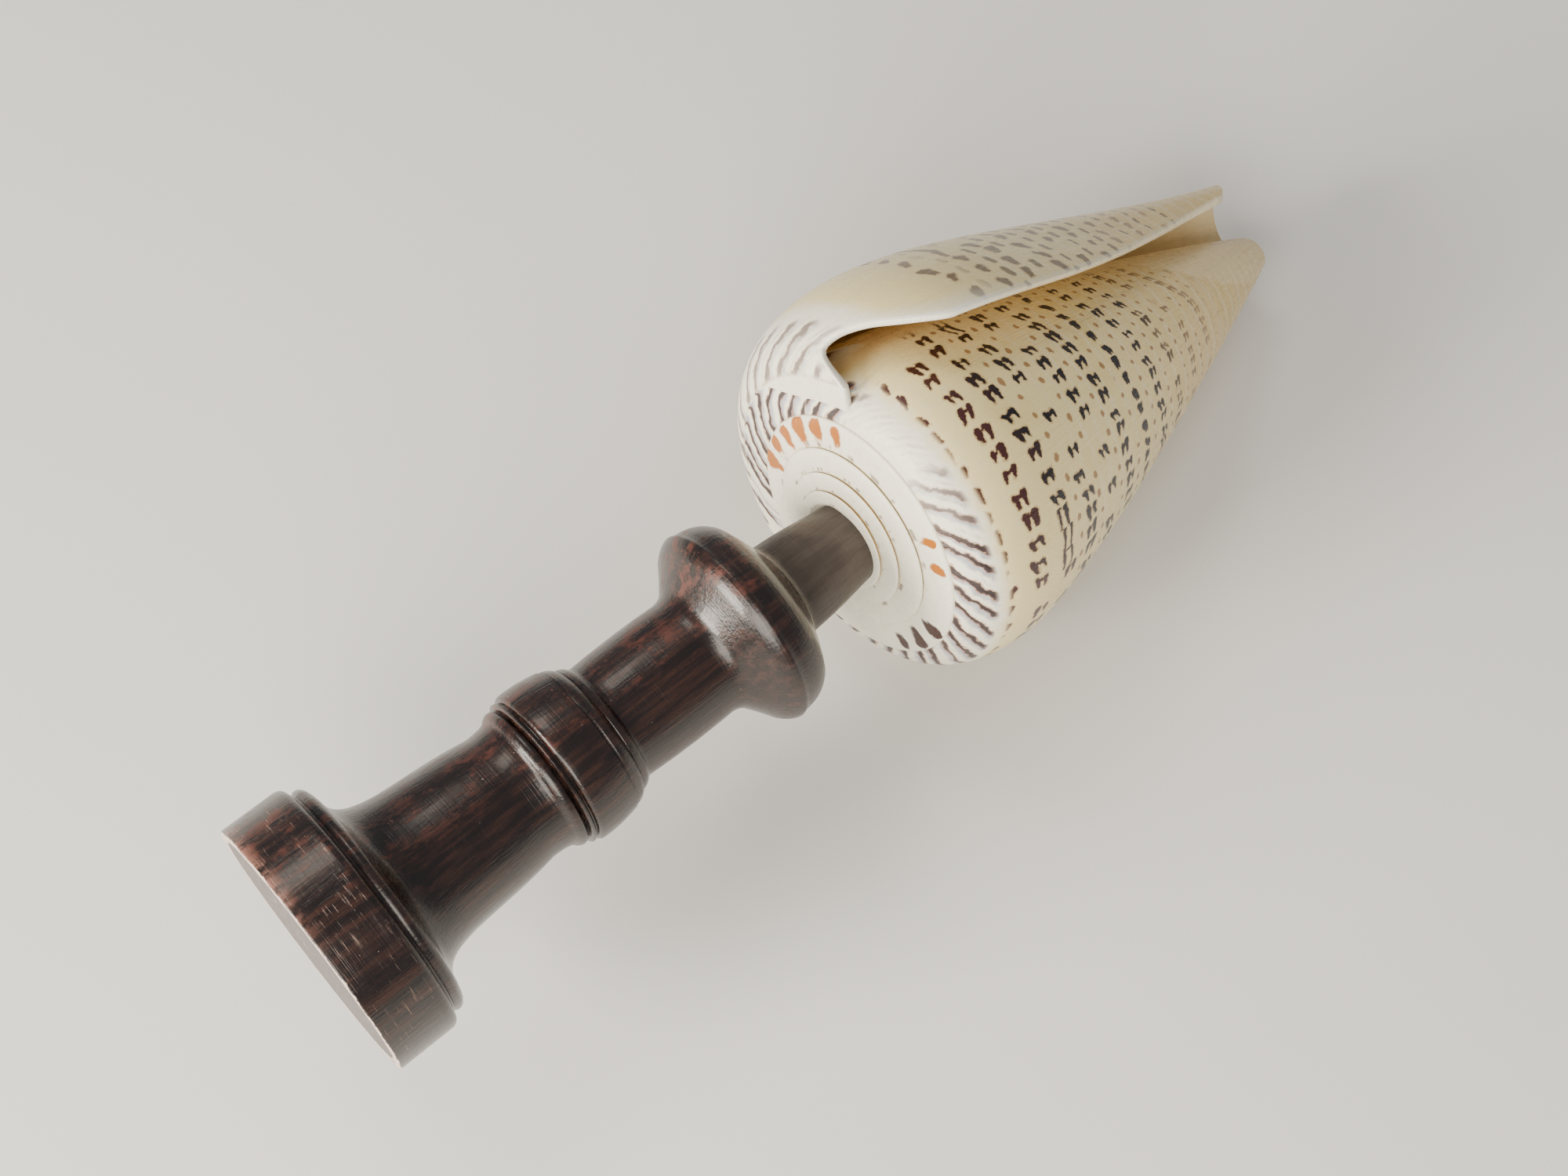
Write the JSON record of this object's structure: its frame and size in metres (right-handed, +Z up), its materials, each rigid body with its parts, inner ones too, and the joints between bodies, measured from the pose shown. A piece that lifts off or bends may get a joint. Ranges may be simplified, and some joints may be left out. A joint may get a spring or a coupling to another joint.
{
  "type": "cone shell on a turned wooden stand",
  "caption": "Large cone shell held spire first on the peg of a turned dark hardwood stand, lying on its side as an ornament.",
  "frame": {"origin": "centre of the box on the surface that the object lies on", "axes": "+Z up, +X from the stand's foot towards the shell's narrow end"},
  "size_m": [0.215, 0.067, 0.0706],
  "materials": {
    "shell": "glossy ivory shell with rows of dark brown marks",
    "stand": "polished dark hardwood, worn and scratched"
  },
  "bodies": {
    "root": {"shell": "shell", "stand": "stand"}
  },
  "joints": []
}
